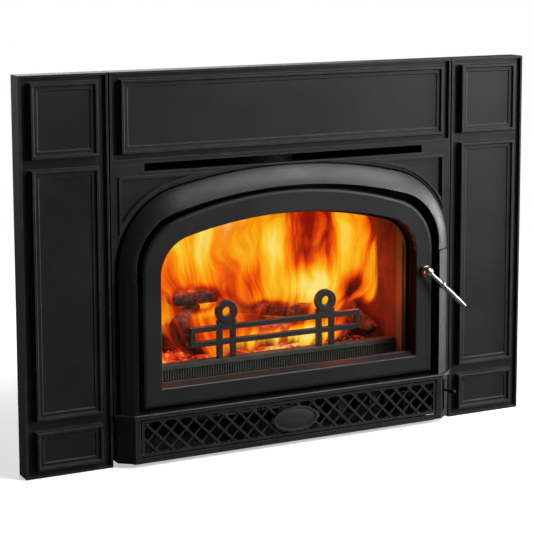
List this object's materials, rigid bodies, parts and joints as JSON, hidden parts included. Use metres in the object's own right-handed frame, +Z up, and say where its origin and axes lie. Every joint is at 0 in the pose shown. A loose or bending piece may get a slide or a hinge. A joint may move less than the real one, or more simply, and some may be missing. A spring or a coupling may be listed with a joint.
{
  "type": "fireplace insert",
  "caption": "Cast-iron wood-burning fireplace insert with panelled surround, arched glass door, lattice grille, air lever, blower and flue collar.",
  "frame": {"origin": "underside of the base pan, under the middle of the front, in the plane of the fireplace facing", "axes": "+X to the right as one faces the fire, +Y into the chimney, +Z up"},
  "size_m": [1.054, 0.3691, 0.724],
  "materials": {
    "cast_surround": "satin black cast iron",
    "cast_front": "satin black cast iron",
    "cast_grille": "satin black cast iron",
    "badge_iron": "satin black cast iron, bare",
    "cast_door": "satin black cast iron, slightly cool",
    "ceramic_glass": "clear ceramic glass",
    "rope_fibre": "glass-fibre rope and tape",
    "bright_nickel": "polished nickel",
    "bronze": "plain bronze",
    "steel_fixing": "zinc-grey steel",
    "dark_steel": "blackened steel",
    "steel_sheet": "galvanised sheet",
    "firebox_iron": "heat-greyed iron",
    "firebrick": "sooted refractory brick",
    "charred_wood": "charred, burning wood",
    "embers": "glowing embers and ash",
    "black_plastic": "black heat-proof plastic",
    "motor_steel": "plain motor housing"
  },
  "bodies": {
    "root": {"air_box": "dark_steel", "airwash_channel": "steel_sheet", "arch_hood": "cast_front", "ash_dam": "firebox_iron", "back_bricks": "firebrick", "baffle": "firebrick", "base_casting": "cast_front", "base_pan": "steel_sheet", "blower_housing": "steel_sheet", "blower_motor": "motor_steel", "casing_back": "steel_sheet", "casing_sides": "steel_sheet", "casing_top": "steel_sheet", "column_left": "cast_front", "column_right": "cast_front", "control_plate": "dark_steel", "ember_bed": "embers", "fire_logs": "charred_wood", "firebox_back": "firebox_iron", "firebox_floor": "firebox_iron", "firebox_sides": "firebox_iron", "firebox_top": "firebox_iron", "floor_bricks": "firebrick", "flue_collar": "firebox_iron", "frame_screws": "steel_fixing", "front_frame": "cast_front", "front_top_plate": "cast_front", "hinge_brackets": "cast_front", "latch_keeper": "cast_front", "levelling_bolts": "steel_fixing", "log_retainer": "firebox_iron", "pivot_pins": "steel_fixing", "power_gland": "black_plastic", "rotor_bushes": "bronze", "shell_spacers": "steel_fixing", "side_bricks": "firebrick", "side_cheeks": "cast_front", "surround_bolts": "steel_fixing", "surround_brackets": "dark_steel", "surround_header": "cast_surround", "surround_left": "cast_surround", "surround_right": "cast_surround"},
    "door": {"door_frame": "cast_door", "door_glass": "ceramic_glass", "glass_tape": "rope_fibre", "glass_retainer": "dark_steel", "door_rope_seal": "rope_fibre", "handle_bush": "bronze"},
    "door_handle": {"handle_hub": "bright_nickel", "handle_collar": "bright_nickel", "handle_grip": "bright_nickel", "latch_cam": "steel_fixing"},
    "lower_grille": {"grille_lattice": "cast_grille", "grille_badge": "badge_iron"},
    "air_control_lever": {"air_lever": "dark_steel", "air_lever_knob": "bright_nickel"},
    "air_inlet_shutter": {"air_shutter": "dark_steel"},
    "fan_rotor": {"blower_rotor": "steel_sheet", "blower_shaft": "steel_fixing"},
    "fan_knob": {"fan_speed_knob": "black_plastic"}
  },
  "joints": [
    {"name": "door_hinge", "type": "hinge", "parent": "root", "child": "door", "pos_m": [-0.3, -0.052, 0.25], "axis": [0, 0, -1], "range_deg": [0, 90]},
    {"name": "handle_turn", "type": "hinge", "parent": "door", "child": "door_handle", "pos_m": [0.291, -0.06, 0.31], "axis": [0, -1, 0], "range_deg": [-25, 60]},
    {"name": "grille_drop", "type": "hinge", "parent": "root", "child": "lower_grille", "pos_m": [0, -0.062, 0.024], "axis": [1, 0, 0], "range_deg": [0, 75]},
    {"name": "air_lever_tilt", "type": "hinge", "parent": "root", "child": "air_control_lever", "pos_m": [0.3365, -0.024, 0.06], "axis": [-1, 0, 0], "range_deg": [-25, 12]},
    {"name": "shutter_slide", "type": "slide", "parent": "root", "child": "air_inlet_shutter", "axis": [0, 0, 1], "range_m": [-0.0043, 0.0089]},
    {"name": "fan_spin", "type": "hinge", "parent": "root", "child": "fan_rotor", "pos_m": [0, 0.1, 0.052], "axis": [1, 0, 0], "continuous": true},
    {"name": "fan_knob_turn", "type": "hinge", "parent": "root", "child": "fan_knob", "pos_m": [0.188, -0.03, 0.054], "axis": [0, -1, 0], "range_deg": [-270, 0]}
  ],
  "couplings": [
    {"joint": "shutter_slide", "follows": "air_lever_tilt", "m_per_rad": -0.02}
  ]
}
